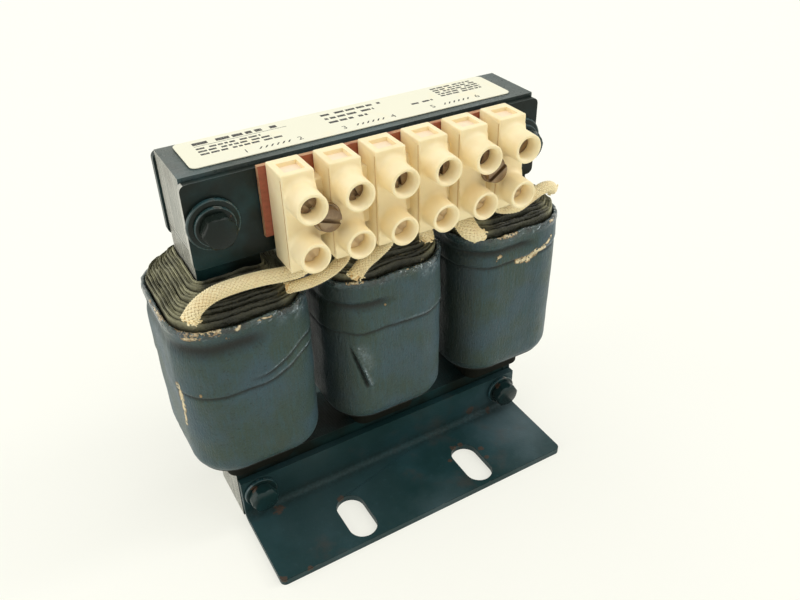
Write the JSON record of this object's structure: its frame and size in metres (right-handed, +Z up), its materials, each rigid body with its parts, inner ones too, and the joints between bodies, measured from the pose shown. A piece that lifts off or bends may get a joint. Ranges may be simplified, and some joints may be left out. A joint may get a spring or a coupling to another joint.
{
  "type": "line reactor",
  "caption": "Open three-phase line reactor: wound coils on a laminated iron core, slotted foot angles and a terminal strip along the top front.",
  "frame": {"origin": "middle of the footprint, on the underside of the foot angles", "axes": "+X along the row of coils, to the right seen from the terminal side; +Y to the rear, away from the terminals; +Z up"},
  "size_m": [0.1112, 0.0712, 0.1048],
  "materials": {
    "core_paint": "dark blue-green air-dry varnish over steel, satin, with rust at cut edges",
    "fastener_steel": "steel fasteners under the same varnish, rusty on the lower row",
    "bright_steel": "bare grey steel, slightly tarnished",
    "winding_varnish": "paper and wire layers soaked in dark varnish",
    "wrap_varnish": "varnished glass tape, slate blue-grey, satin to glossy, tan where it is torn",
    "former_board": "pressed board, varnished brown",
    "red_fibre": "red-brown vulcanised fibre sheet, matt",
    "cream_moulding": "cream nylon moulding, slightly soft sheen",
    "sleeve_braid": "cream braided glass sleeve",
    "label_film": "cream coated label, satin",
    "insert_brass": "dull brass"
  },
  "bodies": {
    "root": {"core_e_stack": "core_paint", "core_i_stack": "core_paint", "clamp_plate_front": "core_paint", "clamp_plate_rear": "core_paint", "foot_angle_front": "core_paint", "foot_angle_rear": "core_paint", "bolt_upper_left": "fastener_steel", "bolt_upper_right": "fastener_steel", "bolt_lower_left": "fastener_steel", "bolt_lower_right": "fastener_steel", "nut_upper_left": "fastener_steel", "nut_upper_right": "fastener_steel", "nut_lower_left": "fastener_steel", "nut_lower_right": "fastener_steel", "lock_washer_upper_left": "fastener_steel", "lock_washer_upper_right": "fastener_steel", "lock_washer_lower_left": "fastener_steel", "lock_washer_lower_right": "fastener_steel", "wide_washer_upper_left": "fastener_steel", "wide_washer_upper_right": "fastener_steel", "strip_screw_left": "bright_steel", "strip_screw_right": "bright_steel", "clamp_screw_upper_1": "bright_steel", "clamp_screw_upper_2": "bright_steel", "clamp_screw_upper_3": "bright_steel", "clamp_screw_upper_4": "bright_steel", "clamp_screw_upper_5": "bright_steel", "clamp_screw_upper_6": "bright_steel", "clamp_screw_lower_1": "bright_steel", "clamp_screw_lower_2": "bright_steel", "clamp_screw_lower_3": "bright_steel", "clamp_screw_lower_4": "bright_steel", "clamp_screw_lower_5": "bright_steel", "clamp_screw_lower_6": "bright_steel", "winding_left": "winding_varnish", "winding_centre": "winding_varnish", "winding_right": "winding_varnish", "coil_wrap_left": "wrap_varnish", "coil_wrap_centre": "wrap_varnish", "coil_wrap_right": "wrap_varnish", "gap_spacer": "former_board", "coil_former_left": "former_board", "coil_former_centre": "former_board", "coil_former_right": "former_board", "fibre_sheet": "red_fibre", "terminal_strip": "cream_moulding", "lead_left_start": "sleeve_braid", "lead_left_end": "sleeve_braid", "lead_centre_start": "sleeve_braid", "lead_centre_end": "sleeve_braid", "lead_right_start": "sleeve_braid", "lead_right_end": "sleeve_braid", "top_label": "label_film", "terminal_insert_1": "insert_brass", "terminal_insert_2": "insert_brass", "terminal_insert_3": "insert_brass", "terminal_insert_4": "insert_brass", "terminal_insert_5": "insert_brass", "terminal_insert_6": "insert_brass"}
  },
  "joints": []
}
